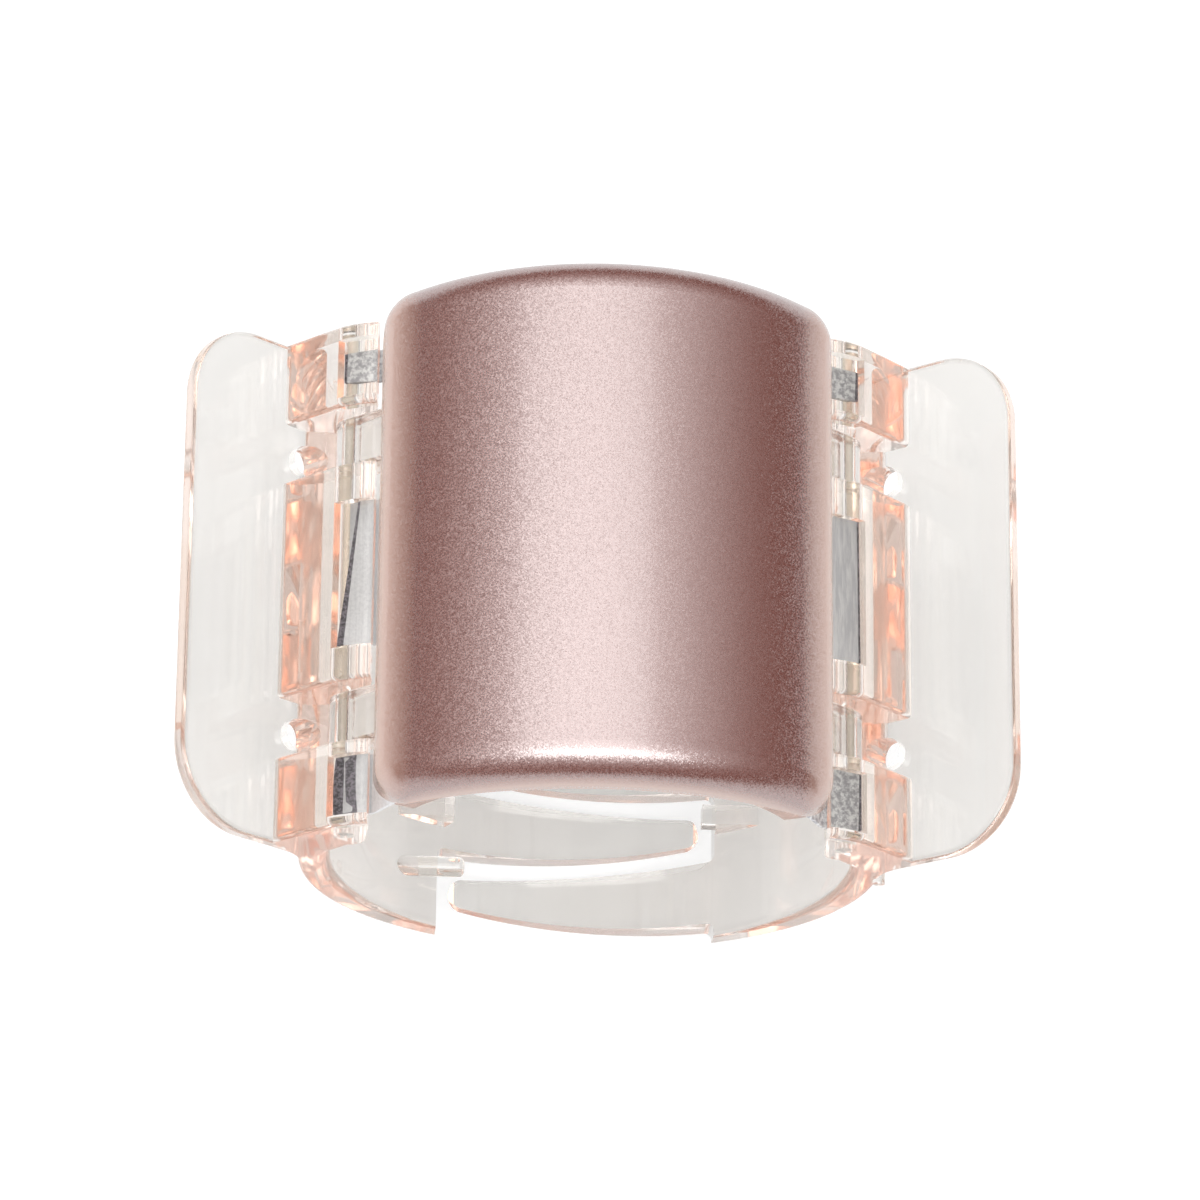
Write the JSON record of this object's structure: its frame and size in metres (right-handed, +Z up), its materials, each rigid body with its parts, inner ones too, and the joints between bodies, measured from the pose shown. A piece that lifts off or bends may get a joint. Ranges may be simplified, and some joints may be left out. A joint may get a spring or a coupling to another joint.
{
  "type": "hair clip",
  "caption": "Double-hinged claw hair clip: clear interlocking jaws with finger wings under an arched pearl-painted cover, closed by a leaf spring",
  "frame": {"origin": "middle of the clip in plan, at the lowest point of the closed fingers", "axes": "+Z up through the cover's crown, +X across the clip from the left wing to the right wing, +Y along the hinge pins from the near end to the far end"},
  "size_m": [0.08, 0.0516, 0.0574],
  "materials": {
    "pearl_paint": "rose pearl paint with fine flake over moulded plastic",
    "clear_plastic": "clear moulded plastic, faint peach tint seen edge-on",
    "spring_steel": "rolled spring steel sheet",
    "pin_plastic": "clear moulded rod, faintly tan"
  },
  "bodies": {
    "frame": {"cover": "pearl_paint", "bridge": "clear_plastic", "spring_plate": "spring_steel", "left_hinge_pin": "pin_plastic", "right_hinge_pin": "pin_plastic"},
    "left_jaw": {"left_jaw": "clear_plastic"},
    "right_jaw": {"right_jaw": "clear_plastic"}
  },
  "joints": [
    {"name": "left_jaw_hinge", "type": "hinge", "parent": "frame", "child": "left_jaw", "pos_m": [-0.0236, 0, 0.0346], "axis": [0, 1, 0], "range_deg": [0, 40], "stiffness_Nm_per_rad": 0.15, "springref_deg": -22.92, "deforming": ["spring_plate"]},
    {"name": "right_jaw_hinge", "type": "hinge", "parent": "frame", "child": "right_jaw", "pos_m": [0.0236, 0, 0.0346], "axis": [0, -1, 0], "range_deg": [0, 40], "stiffness_Nm_per_rad": 0.15, "springref_deg": -22.92, "deforming": ["spring_plate"]}
  ]
}
